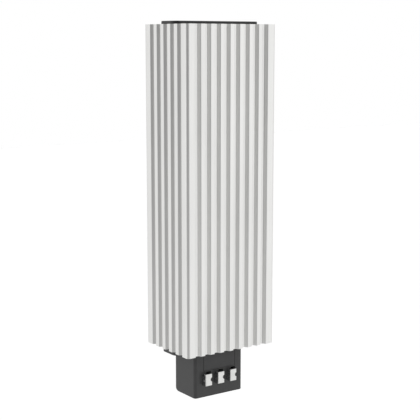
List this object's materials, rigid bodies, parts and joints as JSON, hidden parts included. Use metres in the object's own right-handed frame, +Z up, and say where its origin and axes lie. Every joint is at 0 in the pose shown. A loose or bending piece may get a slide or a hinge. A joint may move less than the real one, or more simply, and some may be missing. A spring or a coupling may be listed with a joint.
{
  "type": "enclosure heater",
  "caption": "Rail-mounted enclosure heater: fluted aluminium chimney profile, black end cap and a black terminal box with push-key clamps.",
  "frame": {"origin": "middle of the rail seat: on the clip's rear face, at the height and width centre of the rail", "axes": "+Z up along the profile, terminal box below; +Y towards the rail, so the clamps face -Y; +X along the rail"},
  "size_m": [0.07, 0.055, 0.2512],
  "materials": {
    "anodised": "silver anodised, satin",
    "housing_plastic": "fine moulded grain",
    "lever_plastic": "smooth moulded",
    "bright_plate": "bright tin plated",
    "zinc_steel": "bright zinc",
    "spring_steel": "nickel plated spring steel",
    "contact_metal": "tinned copper alloy",
    "electrode_metal": "plain rolled",
    "ceramic": "sintered ceramic",
    "film": "polyimide film",
    "lead_silicone": "silicone insulation"
  },
  "bodies": {
    "heater": {"heatsink_profile": "anodised", "top_cap": "housing_plastic", "cap_screws": "zinc_steel", "terminal_housing": "housing_plastic", "flange_screws": "zinc_steel", "contact_bar_1": "contact_metal", "contact_bar_2": "contact_metal", "contact_bar_3": "contact_metal", "clamp_spring_1": "spring_steel", "clamp_spring_2": "spring_steel", "clamp_spring_3": "spring_steel", "ptc_stones": "ceramic", "front_electrode": "electrode_metal", "back_electrode": "electrode_metal", "insulating_film": "film", "wedge_inner": "electrode_metal", "wedge_outer": "electrode_metal", "lead_line": "lead_silicone", "lead_neutral": "lead_silicone", "lead_earth": "lead_silicone", "earth_tag": "bright_plate", "earth_screw": "zinc_steel", "din_clip": "spring_steel", "clip_screws": "zinc_steel", "clip_nuts": "zinc_steel"},
    "key_1": {"key_lever_1": "lever_plastic", "key_plate_1": "bright_plate"},
    "key_2": {"key_lever_2": "lever_plastic", "key_plate_2": "bright_plate"},
    "key_3": {"key_lever_3": "lever_plastic", "key_plate_3": "bright_plate"}
  },
  "joints": [
    {"name": "key_1_press", "type": "slide", "parent": "heater", "child": "key_1", "axis": [0, 1, 0], "range_m": [0, 0.0014], "stiffness_N_per_m": 1500, "springref_m": -0.001},
    {"name": "key_2_press", "type": "slide", "parent": "heater", "child": "key_2", "axis": [0, 1, 0], "range_m": [0, 0.0014], "stiffness_N_per_m": 1500, "springref_m": -0.001},
    {"name": "key_3_press", "type": "slide", "parent": "heater", "child": "key_3", "axis": [0, 1, 0], "range_m": [0, 0.0014], "stiffness_N_per_m": 1500, "springref_m": -0.001}
  ]
}
